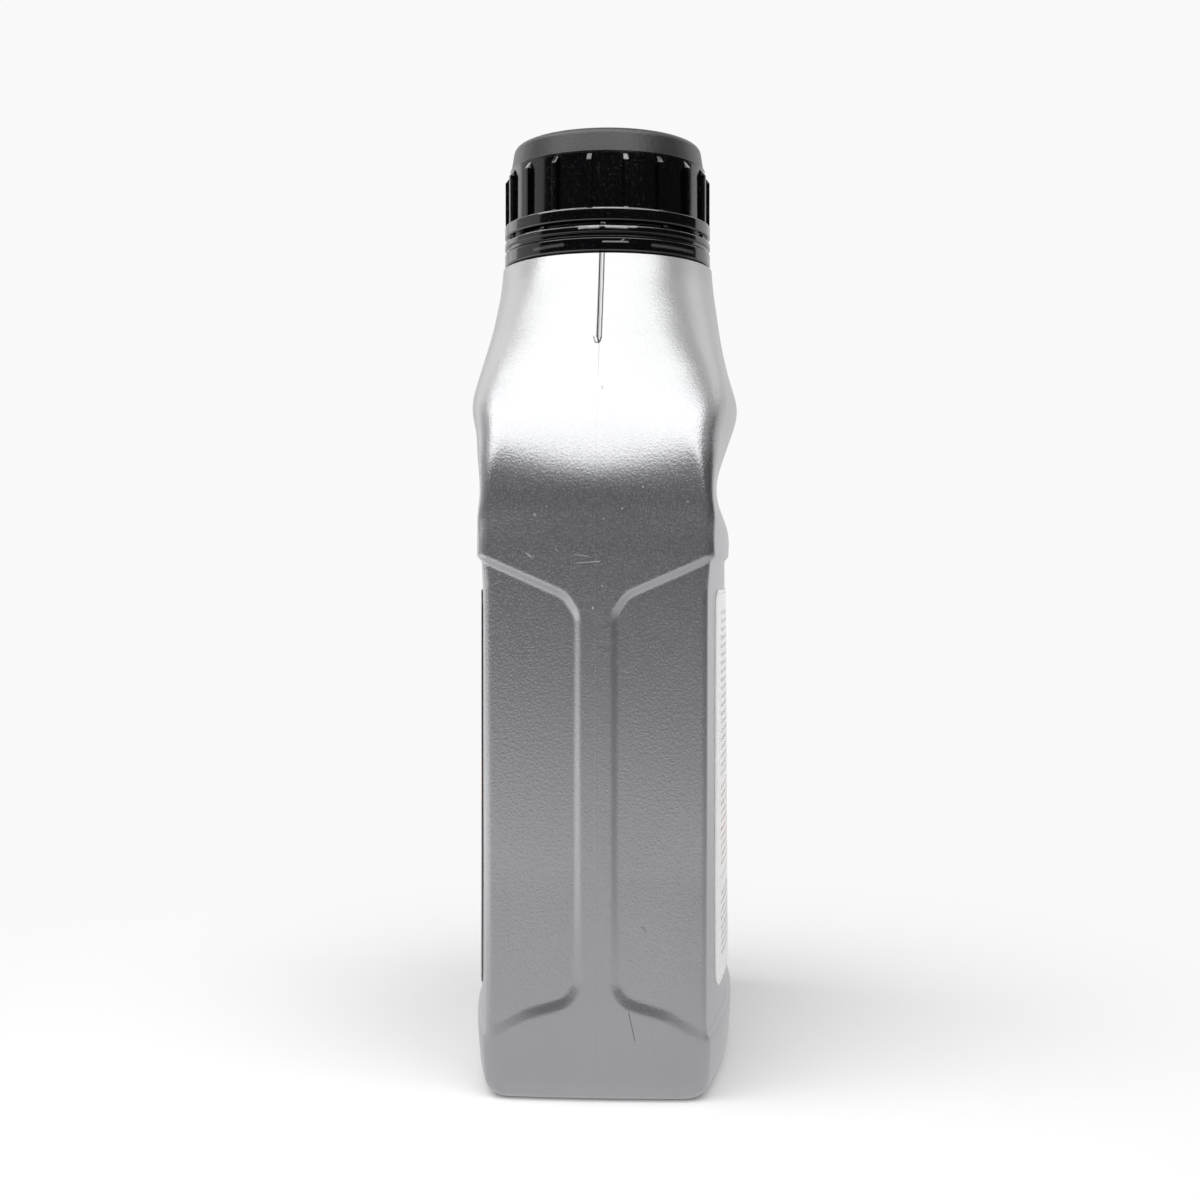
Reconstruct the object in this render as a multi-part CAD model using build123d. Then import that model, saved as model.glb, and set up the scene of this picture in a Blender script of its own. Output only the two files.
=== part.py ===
from build123d import *
import math
import os

# Half-litre plastic bottle for brake fluid, with a ribbed screw cap on a tamper band
# Z is up, X runs across the wide faces, -Y is the front label and +Y the back label.
# The origin is the middle of the base, on the surface that the bottle stands on.

# Body sizes, in millimetres
body_width = 92.0
sole_depth = 49.4
base_depth = 50.6
belt_depth = 49.4
wall = 1.2
lower_face_radius = 195.0
belt_face_radius = 250.0
side_radius = 260.0
corner_radius = 4.5
base_edge_radius = 3.2

# Heights of the body
base_height = 8.5
recess_bottom = 11.4
recess_top = 98.2

# Shoulder above the label recess, in evenly spaced level stations up to the neck
# Each row gives the shares of the way from the neck to the full width and depth,
# then the radii of the wide face, the narrow side and the corner as multiples of the neck base.
neck_base_radius = 21.3
shoulder_rows = [
    (1.000, 0.94, 12.0, 12.2, 0.212),
    (1.000, 0.40, 28.0, 14.0, 0.215),
    (0.980, 0.30, 40.0, 20.0, 0.225),
    (0.923, 0.68, 22.0, 26.0, 0.240),
    (0.842, 1.17, 12.0, 24.0, 0.260),
    (0.741, 1.50, 8.0, 16.0, 0.300),
    (0.624, 1.17, 7.5, 8.0, 0.370),
    (0.495, 0.80, 6.6, 4.4, 0.480),
    (0.365, 0.53, 4.6, 2.7, 0.610),
    (0.243, 0.33, 2.8, 1.9, 0.740),
    (0.130, 0.13, 1.6, 1.3, 0.860),
    (0.028, 0.00, 1.06, 1.05, 0.965),
]

# Stepped label recess: it takes both wide faces and turns the corners onto the narrow sides,
# where it leaves a raised strip that widens into the base band and the shoulder.
# The points of its edge are given as distance from the middle of the narrow side and height.
recess_depth = 0.8
strip_half_width = 3.3
strip_low_end = (strip_half_width, 20.6)
strip_high_end = (strip_half_width, 87.4)
upper_bend = (5.6, 90.8)
upper_corner = (20.2, 97.2)
lower_corner = (20.0, 11.6)
lower_shelf = (12.8, 15.5)
lower_bend = (5.3, 17.8)
strip_bend_radius = 3.5
shelf_bend_radius = 9.0

# Push-up of the base inside its standing rim
rim_width = 6.5
push_up = 1.6
push_up_taper = 35.0
push_up_corner_radius = 6.0

# Labels, laid in the recess
label_width = 70.0
label_bottom = 17.8
label_top = 91.5
label_corner_radius = 4.0
label_thickness = 0.25
glue_line = 0.03

# Screw cap
cap_top = 181.0
cap_height = 18.5
cap_roof = 1.6
cap_wall = 1.2
cap_skirt_radius = 20.0
cap_crown_radius = 19.2
cap_edge_radius = 1.5
flange_height = 2.5
flange_reach = 1.0
flange_bevel = 0.4
rib_count = 18
rib_first_angle = 12.65
rib_width = 1.1
rib_reach = 0.9
rib_top_drop = 4.9
rib_slope = 1.8
liner_thickness = 1.2
liner_clearance = 0.2
liner_bead_reach = 0.45
liner_bead_height = 1.0
liner_bead_gap = 0.2

# Neck finish
neck_radius = 17.4
bore_radius = 15.8
lip_radius = 0.5
lock_bead_reach = 1.6
lock_bead_rise = 3.5
lock_bead_height = 1.6
lock_bead_ramp = 1.4

# Tamper band, held under the lock bead of the neck, with small bridges up to the cap
band_seat_gap = 0.5
band_height = 5.1
bead_clearance = 0.35
hook_reach = 0.9
band_groove_rise = 2.6
band_groove_height = 1.2
band_groove_depth = 0.5
band_bevel = 0.4
slot_height = 0.9
bridge_count = 10
bridge_first_angle = 0.15
bridge_width = 1.3
bridge_depth = 1.0
bridge_gap = 0.25

# Sizes that follow from those above, from the top of the cap down to the shoulder
cap_low = cap_top - cap_height
flange_top = cap_low + flange_height
band_top = cap_low - slot_height
band_low = band_top - band_height
shoulder_top = band_low - band_seat_gap
flange_radius = cap_skirt_radius + flange_reach
cap_bore_radius = cap_skirt_radius - cap_wall
cap_roof_low = cap_top - cap_roof
neck_top = cap_roof_low - liner_thickness
lock_bead_low = shoulder_top + lock_bead_rise
lock_bead_radius = neck_radius + lock_bead_reach
beyond = body_width


def plan_outline(height, half_width, half_depth, face_radius, side_radius, corner_radius, inset):
    """Level outline of four shallow arcs and four tangent corner arcs, all moved in by the inset."""
    half_width = half_width - inset
    half_depth = half_depth - inset
    face_radius = face_radius - inset
    side_radius = side_radius - inset
    corner_radius = corner_radius - inset
    face_centre_y = half_depth - face_radius
    side_centre_x = half_width - side_radius
    face_reach = face_radius - corner_radius
    side_reach = side_radius - corner_radius
    # The corner arc touches both neighbours, so its centre lies on a circle about each of theirs
    apart = math.hypot(side_centre_x, face_centre_y)
    along = (face_reach**2 - side_reach**2 + apart**2) / (2 * apart)
    across = math.sqrt(face_reach**2 - along**2)
    toward = Vector(side_centre_x, -face_centre_y) / apart
    corner = Vector(0, face_centre_y) + toward * along + Vector(toward.Y, -toward.X) * across
    face_angle = math.atan2(corner.Y - face_centre_y, corner.X)
    side_angle = math.atan2(corner.Y, corner.X - side_centre_x)
    middle_angle = (face_angle + side_angle) / 2

    def on_corner(angle):
        return (corner.X + corner_radius * math.cos(angle), corner.Y + corner_radius * math.sin(angle))

    on_side = on_corner(side_angle)
    on_bend = on_corner(middle_angle)
    on_face = on_corner(face_angle)

    def arc(first, second, third):
        return ThreePointArc(*[Vector(x, y, height) for x, y in (first, second, third)])

    def turned(point, sign_x, sign_y):
        return (point[0] * sign_x, point[1] * sign_y)

    edges = [arc(turned(on_side, 1, -1), (half_width, 0), on_side)]
    edges += [arc(on_side, on_bend, on_face)]
    edges += [arc(on_face, (0, half_depth), turned(on_face, -1, 1))]
    edges += [arc(turned(on_face, -1, 1), turned(on_bend, -1, 1), turned(on_side, -1, 1))]
    edges += [arc(turned(on_side, -1, 1), (-half_width, 0), turned(on_side, -1, -1))]
    edges += [arc(turned(on_side, -1, -1), turned(on_bend, -1, -1), turned(on_face, -1, -1))]
    edges += [arc(turned(on_face, -1, -1), (0, -half_depth), turned(on_face, 1, -1))]
    edges += [arc(turned(on_face, 1, -1), turned(on_bend, 1, -1), turned(on_side, 1, -1))]
    return Wire(edges)


def lower_outline(height, inset):
    """Outline of the lower body, deepest at the top of its base and tapering both ways from there."""
    if height < base_height:
        depth = sole_depth + (base_depth - sole_depth) * height / base_height
    else:
        depth = base_depth + (belt_depth - base_depth) * (height - base_height) / (recess_top - base_height)
    half_depth = depth / 2
    face_radius = lower_face_radius + (belt_face_radius - lower_face_radius) * height / recess_top
    return plan_outline(height, body_width / 2, half_depth, face_radius, side_radius, corner_radius, inset)


def lower_form(heights, inset):
    """Solid of the lower body with straight walls between its heights, inside the skin by the inset."""
    return Solid.make_loft([lower_outline(height, inset) for height in heights], ruled=True)


def shoulder_form(inset):
    """Solid of the belt, waist, ridge and shoulder, inside the skin by the inset."""
    outlines = [lower_outline(recess_top, inset)]
    for step, (wide, deep, face, side, corner) in enumerate(shoulder_rows, start=1):
        height = recess_top + (shoulder_top - recess_top) * step / len(shoulder_rows)
        half_width = neck_base_radius + (body_width / 2 - neck_base_radius) * wide
        half_depth = neck_base_radius + (belt_depth / 2 - neck_base_radius) * deep
        radii = [ratio * neck_base_radius for ratio in (face, side, corner)]
        outlines.append(plan_outline(height, half_width, half_depth, *radii, inset))
    return Solid.make_loft(outlines)


def foot_form(inset):
    """Rounded foot of the body: its outline swells through a quarter circle up to the straight walls."""
    radius = base_edge_radius - inset
    outlines = []
    for angle in (0, 30, 60, 90):
        height = inset + radius * (1 - math.cos(math.radians(angle)))
        tuck = inset + radius * (1 - math.sin(math.radians(angle)))
        outlines.append(lower_outline(height, tuck))
    return Solid.make_loft(outlines)


def body_form(inset):
    """Whole body from the rounded foot to the shoulder top, inside the skin by the inset."""
    straight = lower_form([base_edge_radius, base_height, recess_top], inset)
    return foot_form(inset) + straight + shoulder_form(inset)


def recess_prism(margin):
    """Prism across the whole width that holds the label recess of the back, grown by the margin."""
    outer_low = (belt_depth, recess_bottom)
    outer_high = (belt_depth, recess_top)
    points = [strip_low_end, strip_high_end, upper_bend, upper_corner, outer_high]
    points += [outer_low, lower_corner, lower_shelf, lower_bend]
    radii = [strip_bend_radius, strip_bend_radius, strip_bend_radius, 0, 0, 0, 0, shelf_bend_radius, 0]
    with BuildSketch(Plane.YZ) as sketch:
        with BuildLine():
            FilletPolyline(*points, radius=radii, close=True)
        make_face()
        if margin:
            offset(amount=margin)
    return extrude(sketch.sketch, beyond / 2, both=True)


def make_recess(depth, margin):
    """Material taken off the skin by the label recess, down to a depth under the skin."""
    back = recess_prism(margin)
    return back + mirror(back, Plane.XZ) - body_form(depth)


def base_pocket(margin):
    """Tapered push-up of the base, grown by the margin."""
    outline = RectangleRounded(
        body_width - 2 * rim_width + 2 * margin,
        base_depth - 2 * rim_width - 2 * base_edge_radius + 2 * margin,
        push_up_corner_radius + margin)
    return extrude(outline, push_up + margin, taper=push_up_taper)


def revolve_outline(points, radii=None):
    """Ring or cup turned about the upright axis from an outline of radius and height pairs."""
    with BuildSketch(Plane.XZ) as sketch:
        with BuildLine():
            FilletPolyline(*points, radius=radii or [0] * len(points), close=True)
        make_face()
    return revolve(sketch.sketch, Axis.Z)


def make_neck():
    """Neck tube with its lip and the sloped bead that locks the tamper band."""
    bead_top = lock_bead_low + lock_bead_height
    points = [
        (bore_radius, shoulder_top - wall), (neck_radius, shoulder_top - wall),
        (neck_radius, lock_bead_low), (lock_bead_radius, lock_bead_low),
        (lock_bead_radius, bead_top), (neck_radius, bead_top + lock_bead_ramp),
        (neck_radius, neck_top), (bore_radius, neck_top)]
    return revolve_outline(points, [0, 0, 0, 0, 0, 0, lip_radius, lip_radius])


def make_bottle():
    """Blown bottle in one piece: even wall, label recess, push-up base and neck."""
    skin = body_form(0) - make_recess(recess_depth, 0) - base_pocket(0)
    roof = shoulder_top - wall
    hollow = body_form(wall) - make_recess(wall + recess_depth, wall) - base_pocket(wall)
    hollow = split(hollow, Plane.XY.offset(roof), keep=Keep.BOTTOM)
    bore = Pos(0, 0, roof - wall) * Cylinder(
        bore_radius, neck_top - roof + wall, align=(Align.CENTER, Align.CENTER, Align.MIN))
    return skin - hollow - bore + make_neck()


def make_label(side):
    """Thin label in the recess of one wide face, on the back for side 1 and the front for side -1."""
    outline = Plane.XZ * Pos(0, (label_bottom + label_top) / 2) * RectangleRounded(
        label_width, label_top - label_bottom, label_corner_radius)
    stamp = extrude(outline, beyond, dir=(0, side, 0))
    outer = lower_form([base_height, recess_top], recess_depth - glue_line - label_thickness)
    inner = lower_form([base_height, recess_top], recess_depth - glue_line)
    return (outer - inner) & stamp


def make_tamper_band():
    """Ring under the lock bead, with an outer groove and the bridges that tear when the cap turns."""
    inner_radius = lock_bead_radius + bead_clearance
    hook_radius = lock_bead_radius - hook_reach
    hook_top = lock_bead_low - bead_clearance
    groove_low = band_low + band_groove_rise
    groove_high = groove_low + band_groove_height
    outer = flange_radius
    points = [
        (hook_radius, band_low), (outer - band_bevel, band_low), (outer, band_low + band_bevel),
        (outer, groove_low), (outer - band_groove_depth, groove_low + band_groove_depth),
        (outer - band_groove_depth, groove_high), (outer, groove_high),
        (outer, band_top - band_bevel), (outer - band_bevel, band_top),
        (inner_radius, band_top), (inner_radius, hook_top), (hook_radius, hook_top)]
    band = revolve_outline(points)
    bridge = Pos(flange_radius - band_bevel - bridge_depth / 2, 0, band_top - band_bevel) * Box(
        bridge_depth, bridge_width, slot_height - bridge_gap + band_bevel,
        align=(Align.CENTER, Align.CENTER, Align.MIN))
    for count in range(bridge_count):
        band += Rot(0, 0, bridge_first_angle + 360 / bridge_count * count) * bridge
    return band


def make_rib():
    """One grip rib on the +X side of the cap, from the flange to its sloped top end."""
    root = cap_bore_radius + cap_wall / 2
    face = cap_skirt_radius + rib_reach
    rib_top = cap_top - rib_top_drop
    outline = Plane.XZ * make_face(Polyline(
        (root, flange_top - flange_bevel), (face, flange_top - flange_bevel),
        (face, rib_top - rib_slope), (root, rib_top), close=True))
    return extrude(outline, rib_width / 2, both=True)


def make_cap():
    """Screw cap: tapered skirt with grip ribs over a flange, and a bead inside that keeps the liner."""
    bead_radius = cap_bore_radius - liner_bead_reach
    bead_top = neck_top - liner_bead_gap
    bead_low = bead_top - liner_bead_height
    points = [
        (cap_bore_radius, cap_low), (flange_radius, cap_low), (flange_radius, flange_top - flange_bevel),
        (flange_radius - flange_bevel, flange_top), (cap_skirt_radius, flange_top),
        (cap_crown_radius, cap_top), (0, cap_top), (0, cap_roof_low), (cap_bore_radius, cap_roof_low),
        (cap_bore_radius, bead_top), (bead_radius, bead_top - liner_bead_height / 3),
        (bead_radius, bead_low + liner_bead_height / 3), (cap_bore_radius, bead_low)]
    radii = [0, 0, 0, 0, 0, cap_edge_radius, 0, 0, 0, 0, 0, 0, 0]
    cap = revolve_outline(points, radii)
    rib = make_rib()
    for count in range(rib_count):
        cap += Rot(0, 0, rib_first_angle + 360 / rib_count * count) * rib
    return cap


def make_liner():
    """Soft sealing disc between the neck's lip and the roof of the cap."""
    return Pos(0, 0, neck_top) * Cylinder(
        cap_bore_radius - liner_clearance, liner_thickness, align=(Align.CENTER, Align.CENTER, Align.MIN))


os.makedirs("parts", exist_ok=True)
pieces = {
    "bottle": make_bottle(),
    "front_label": make_label(-1),
    "back_label": make_label(1),
    "tamper_band": make_tamper_band(),
    "cap": make_cap(),
    "cap_liner": make_liner(),
}
for name, piece in pieces.items():
    export_step(piece, f"parts/{name}.step")
    print(name, round(piece.volume), "cubic mm")
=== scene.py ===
import bmesh
import bpy
import math
import numpy as np
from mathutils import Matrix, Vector


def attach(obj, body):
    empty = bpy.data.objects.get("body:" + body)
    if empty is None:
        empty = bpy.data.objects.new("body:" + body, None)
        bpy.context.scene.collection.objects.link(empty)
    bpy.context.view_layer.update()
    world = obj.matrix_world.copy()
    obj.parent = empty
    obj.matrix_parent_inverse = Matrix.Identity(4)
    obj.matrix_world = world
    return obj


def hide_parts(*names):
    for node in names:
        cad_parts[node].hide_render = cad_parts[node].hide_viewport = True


# Half-litre brake fluid bottle seen on its narrow side, with its labels, cap, band and liner.
# Lengths are in millimetres where millimetre scales them, and otherwise in metres, as for grain.
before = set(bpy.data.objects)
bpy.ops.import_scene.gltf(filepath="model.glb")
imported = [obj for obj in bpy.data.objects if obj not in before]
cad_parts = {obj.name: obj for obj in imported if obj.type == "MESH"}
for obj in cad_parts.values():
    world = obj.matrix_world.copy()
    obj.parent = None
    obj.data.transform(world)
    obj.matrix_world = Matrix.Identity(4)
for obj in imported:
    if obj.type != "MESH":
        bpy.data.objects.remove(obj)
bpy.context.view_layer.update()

# Blown bottle body
# One piece of silver-pigmented polyethylene, blown in a two-part mould with a leather-grained
# skin: label recess, belt, waist, ridge and shoulder, a push-up base and a turned neck on top.
millimetre = 0.001
body_width = 92.0
sole_depth = 49.4
base_depth = 50.6
belt_depth = 49.4
wall = 1.2
foot_radius = 3.2
base_height = 8.5
recess_top = 98.2
shoulder_top = 156.0

# The wide faces get flatter with height, and by a further step in the belt. The corners are
# tight, and turn rounder only towards the foot.
lower_face_radius = 195.0
belt_face_radius = 250.0
belt_flatter_from = 92.0
belt_flatter_by = 35.4
side_radius = 260.0
corner_radius = 2.07
foot_corner_radius = 4.5
foot_corner_height = 14.0

# Shares of the way from the neck to the full width and depth, and radii of the wide face,
# the narrow side and the corner in neck radii, at even heights from the recess to the neck
neck_base_radius = 21.3
shoulder_rows = np.array([
    (1.000, 1.00, 13.4, 12.21, 0.097),
    (1.000, 0.94, 14.2, 12.2, 0.097),
    (1.000, 0.40, 28.0, 14.0, 0.110),
    (0.980, 0.30, 40.0, 12.5, 0.160),
    (0.923, 0.68, 22.0, 10.0, 0.270),
    (0.842, 1.17, 12.0, 8.5, 0.370),
    (0.741, 1.50, 8.0, 7.5, 0.450),
    (0.624, 1.17, 7.5, 6.0, 0.510),
    (0.495, 0.80, 6.6, 4.2, 0.590),
    (0.365, 0.53, 4.6, 2.7, 0.680),
    (0.243, 0.33, 2.8, 1.9, 0.775),
    (0.130, 0.13, 1.6, 1.3, 0.870),
    (0.028, 0.00, 1.06, 1.05, 0.965),
])

# The narrow side bends into the shoulder along an arched line, which is higher at the corners by
# its rise, drawn with this power of the distance from the middle, between two heights
break_rise = 4.8
break_bend = 1.6
break_low = 107.0
break_high = 132.0

# Label recess: its edge on the narrow side as distance from the parting line and height
recess_depth = 0.8
recess_step = 1.15
recess_corners = [
    (3.3, 20.6), (3.3, 87.4), (5.6, 90.8), (20.2, 97.2),
    (60.0, 98.4), (60.0, 11.2), (20.0, 11.6), (12.8, 15.5), (5.3, 17.8),
]
recess_bends = [3.5, 4.5, 4.5, 6.0, 0, 0, 9.0, 9.0, 4.0]

# Low on the narrow side its step grows wider and loses this share of its depth, and some more
# from the middle out to the corners
low_fade_start = 40.0
low_fade_end = 16.0
low_step_gain = 1.2
low_depth_loss = 0.5
side_depth_loss = 0.35
side_fade_start = 10.0
side_fade_end = 20.0


def rounded(corners, radii, arc_steps=5):
    """Closed outline with each corner turned into an arc of its own radius, or left sharp at 0."""
    points = []
    for index, (corner, radius) in enumerate(zip(corners, radii)):
        corner = np.array(corner, float)
        back = np.array(corners[index - 1]) - corner
        ahead = np.array(corners[(index + 1) % len(corners)]) - corner
        back, ahead = back / np.linalg.norm(back), ahead / np.linalg.norm(ahead)
        if not radius:
            points.append(corner)
            continue
        half = math.acos(back @ ahead) / 2
        middle = (back + ahead) / np.linalg.norm(back + ahead)
        centre = corner + middle * radius / math.sin(half)
        first = corner + back * radius / math.tan(half) - centre
        last = corner + ahead * radius / math.tan(half) - centre
        turn = math.pi - 2 * half
        for step in range(arc_steps + 1):
            share = step / arc_steps
            swing = math.sin((1 - share) * turn) * first + math.sin(share * turn) * last
            points.append(centre + swing / math.sin(turn))
    return np.array(points)


recess_edge = rounded(recess_corners, recess_bends)


def smooth_rows(rows, share):
    """Rows at evenly spaced stations read at any share of the height, as a natural cubic spline."""
    count = len(rows)
    system = np.eye(count) * 4
    system[0, 0] = system[-1, -1] = 2
    for row in range(count - 1):
        system[row, row + 1] = system[row + 1, row] = 1
    padded = np.vstack([rows[:1], rows, rows[-1:]])
    slopes = np.linalg.solve(system, 3 * (padded[2:] - padded[:-2]))
    place = np.clip(share, 0, 1) * (count - 1)
    first = min(int(place), count - 2)
    t = place - first
    a, b = rows[first], rows[first + 1]
    p, q = slopes[first], slopes[first + 1]
    return a + t * p + t**2 * (3 * (b - a) - 2 * p - q) + t**3 * (2 * (a - b) + p + q)


def plan_of(height):
    """Half width, half depth and the three radii of the level outline at a height."""
    if height <= recess_top:
        if height < base_height:
            depth = sole_depth + (base_depth - sole_depth) * height / base_height
        else:
            share = (height - base_height) / (recess_top - base_height)
            depth = base_depth + (belt_depth - base_depth) * share
        in_belt = max(0.0, height - belt_flatter_from) / (recess_top - belt_flatter_from)
        face = lower_face_radius + (belt_face_radius - lower_face_radius) * height / recess_top
        face += belt_flatter_by * in_belt
        low = max(0.0, 1 - height / foot_corner_height)
        corner = corner_radius + (foot_corner_radius - corner_radius) * low
        return body_width / 2, depth / 2, face, side_radius, corner
    share = (height - recess_top) / (shoulder_top - recess_top)
    wide, deep, face, side, corner = smooth_rows(shoulder_rows, share)
    half_width = neck_base_radius + (body_width / 2 - neck_base_radius) * wide
    half_depth = neck_base_radius + (belt_depth / 2 - neck_base_radius) * deep
    return half_width, half_depth, *(np.array([face, side, corner]) * neck_base_radius)


def quarter_outline(plan, shares):
    """Points and outward directions along a quarter outline, from the narrow side to the wide face."""
    half_width, half_depth, face, side, corner = plan
    face_y = half_depth - face
    side_x = half_width - side
    apart = math.hypot(side_x, face_y)
    along = ((face - corner) ** 2 - (side - corner) ** 2 + apart**2) / (2 * apart)
    across = math.sqrt((face - corner) ** 2 - along**2)
    toward = np.array([side_x, -face_y]) / apart
    centre = np.array([0, face_y]) + toward * along + np.array([toward[1], -toward[0]]) * across
    side_turn = math.atan2(centre[1], centre[0] - side_x)
    face_turn = math.atan2(centre[1] - face_y, centre[0])
    side_length = side * side_turn
    corner_length = corner * (face_turn - side_turn)
    run = shares * (side_length + corner_length + face * (math.pi / 2 - face_turn))
    on_side = run < side_length
    on_face = run > side_length + corner_length
    turn = side_turn + (run - side_length) / corner
    turn = np.where(on_side, run / side, turn)
    turn = np.where(on_face, face_turn + (run - side_length - corner_length) / face, turn)
    radius = np.where(on_side, side, np.where(on_face, face, corner))
    middle_x = np.where(on_side, side_x, np.where(on_face, 0, centre[0]))
    middle_y = np.where(on_side, 0, np.where(on_face, face_y, centre[1]))
    way = np.stack([np.cos(turn), np.sin(turn)], axis=1)
    return np.stack([middle_x, middle_y], axis=1) + radius[:, None] * way, way


def full_loop(quarter):
    """Four mirrored quarters joined into one loop that starts on the +X side."""
    second = quarter[::-1][1:] * (-1, 1)
    upper = np.vstack([quarter, second])
    return np.vstack([upper, upper[::-1][1:-1] * (1, -1)])


def soft_ramp(share, ease=0.18):
    """Straight rise from 0 to 1 whose two ends are rounded over a share of its length."""
    slope = 1 / (1 - ease)
    t = np.clip(share, 0, 1)
    start = slope * t * t / (2 * ease)
    end = 1 - slope * (1 - t) ** 2 / (2 * ease)
    return np.where(t < ease, start, np.where(t > 1 - ease, end, slope * (t - ease / 2)))


def recess_share(side_place, height, step):
    """0 outside the label recess and 1 on its floor, with a soft step across its edge."""
    ahead = np.roll(recess_edge, -1, axis=0)
    point = np.stack([np.abs(side_place), np.full_like(side_place, height)], axis=1)
    nearest = np.full(len(point), 1e9)
    inside = np.zeros(len(point), bool)
    for start, end in zip(recess_edge, ahead):
        way = end - start
        share = np.clip(((point - start) @ way) / (way @ way), 0, 1)
        nearest = np.minimum(nearest, np.linalg.norm(point - start - share[:, None] * way, axis=1))
        crosses = (start[1] > point[:, 1]) != (end[1] > point[:, 1])
        rise = end[1] - start[1] if end[1] != start[1] else 1e-9
        inside ^= crosses & (point[:, 0] < start[0] + way[0] * (point[:, 1] - start[1]) / rise)
    depth = np.where(inside, nearest, -nearest)
    return soft_ramp(depth / step + 0.5)


def arched_break(side_share, height, half_width):
    """How far the narrow side stands out beside its middle, where it bends into the shoulder."""
    middle = (break_low + break_high) / 2
    share = np.clip(1 - abs(height - middle) / (middle - break_low), 0, 1)
    rise = break_rise * share**2 * (3 - 2 * share) * np.abs(side_share) ** break_bend
    return np.array([plan_of(height - part)[0] for part in rise]) - half_width


def skin_loop(height, inset):
    """Level loop of the skin moved in by an inset, with the label recess pressed into it."""
    plan = plan_of(height)
    quarter, way = quarter_outline(plan, column_shares)
    low = np.clip((low_fade_start - height) / (low_fade_start - low_fade_end), 0, 1) * way[:, 0]
    step = recess_step + low_step_gain * low
    beside = np.clip((quarter[:, 1] - side_fade_start) / (side_fade_end - side_fade_start), 0, 1)
    loss = low * (low_depth_loss + side_depth_loss * beside)
    depth = inset + recess_depth * (1 - loss) * recess_share(quarter[:, 1], height, step)
    quarter[:, 0] += way[:, 0] * arched_break(quarter[:, 1] / plan[1], height, plan[0])
    loop = full_loop(quarter - way * depth[:, None])
    return np.column_stack([loop, np.full(len(loop), height)])


def circle_loop(radius, height):
    """Level circle with one point for each column of the skin."""
    turn = column_shares * math.pi / 2
    loop = full_loop(radius * np.stack([np.cos(turn), np.sin(turn)], axis=1))
    return np.column_stack([loop, np.full(len(loop), height)])


def steps(*stops):
    """Heights from stop to stop, each stop given with the spacing up to the next one."""
    heights = []
    for (low, gap), (high, _) in zip(stops, stops[1:]):
        heights += list(np.linspace(low, high, max(1, round((high - low) / gap)) + 1)[:-1])
    return heights + [stops[-1][0]]


def loops_to_mesh(name, loops, closed_ends=True):
    """Mesh of quads between like loops, each end closed by one flat face."""
    count = len(loops[0])
    points = np.vstack(loops) * millimetre
    faces = []
    for row in range(len(loops) - 1):
        for column in range(count):
            after = (column + 1) % count
            low, high = row * count, (row + 1) * count
            faces.append((low + column, low + after, high + after, high + column))
    if closed_ends:
        faces.append(tuple(range(count))[::-1])
        faces.append(tuple((len(loops) - 1) * count + column for column in range(count)))
    mesh = bpy.data.meshes.new(name)
    mesh.from_pydata([tuple(point) for point in points], [], faces)
    mesh.update()
    return mesh


def placed(name, data):
    """Object of its data, in the scene and at the origin."""
    item = bpy.data.objects.new(name, data)
    bpy.context.scene.collection.objects.link(item)
    return item


def new_piece(name, mesh, material, sharp_angle=40):
    """Object at the origin from a mesh, smooth but for its sharp edges."""
    mesh.name = name
    for polygon in mesh.polygons:
        polygon.use_smooth = True
    mesh.set_sharp_from_angle(angle=math.radians(sharp_angle))
    mesh.materials.clear()
    mesh.materials.append(material)
    return placed(name, mesh)


# Shader parts shared by the finishes
def add_node(tree, kind, inputs=None, **settings):
    """Node of a kind with its settings, its inputs given as values or as sockets to link from."""
    node = tree.nodes.new(kind)
    for name, value in settings.items():
        setattr(node, name, value)
    for key, value in (inputs or {}).items():
        if isinstance(value, bpy.types.NodeSocket):
            tree.links.new(value, node.inputs[key])
        else:
            node.inputs[key].default_value = value
    return node


def maths(tree, operation, *values):
    """Result of one scalar operation."""
    return add_node(tree, "ShaderNodeMath", dict(enumerate(values)), operation=operation).outputs[0]


def plus(tree, first, second):
    """Sum of two values."""
    return maths(tree, "ADD", first, second)


def minus(tree, first, second):
    """First value less the second."""
    return maths(tree, "SUBTRACT", first, second)


def times(tree, first, second):
    """Product of two values."""
    return maths(tree, "MULTIPLY", first, second)


def vector_maths(tree, operation, *values):
    """Node of one vector operation."""
    return add_node(tree, "ShaderNodeVectorMath", dict(enumerate(values)), operation=operation)


def diagonal(tree, across, up):
    """Length of the diagonal of two sides at a right angle."""
    squares = [maths(tree, "POWER", side, 2.0) for side in (across, up)]
    return maths(tree, "SQRT", plus(tree, *squares))


def remap(tree, value, low, high, to_low=0.0, to_high=1.0, smooth=False):
    """Value carried from one range to another and held at its ends."""
    kind = "SMOOTHSTEP" if smooth else "LINEAR"
    inputs = {"Value": value, "From Min": low, "From Max": high, "To Min": to_low, "To Max": to_high}
    return add_node(tree, "ShaderNodeMapRange", inputs, interpolation_type=kind).outputs["Result"]


def blended(tree, share, first, second):
    """Colour between two colours or colour sockets."""
    first, second = (
        tint if isinstance(tint, bpy.types.NodeSocket) else (*tint, 1) for tint in (first, second))
    mix = add_node(tree, "ShaderNodeMix", {0: share, 6: first, 7: second}, data_type="RGBA")
    return mix.outputs[2]


def new_group(name, inputs, outputs):
    """Empty shader group with named number or vector inputs and outputs, and its two end nodes."""
    group = bpy.data.node_groups.new(name, "ShaderNodeTree")
    for side, sockets in (("INPUT", inputs), ("OUTPUT", outputs)):
        for socket_name, value in sockets.items():
            kind = "NodeSocketVector" if isinstance(value, tuple) else "NodeSocketFloat"
            socket = group.interface.new_socket(name=socket_name, in_out=side, socket_type=kind)
            socket.default_value = value
    return group, group.nodes.new("NodeGroupInput").outputs, group.nodes.new("NodeGroupOutput").inputs


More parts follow.
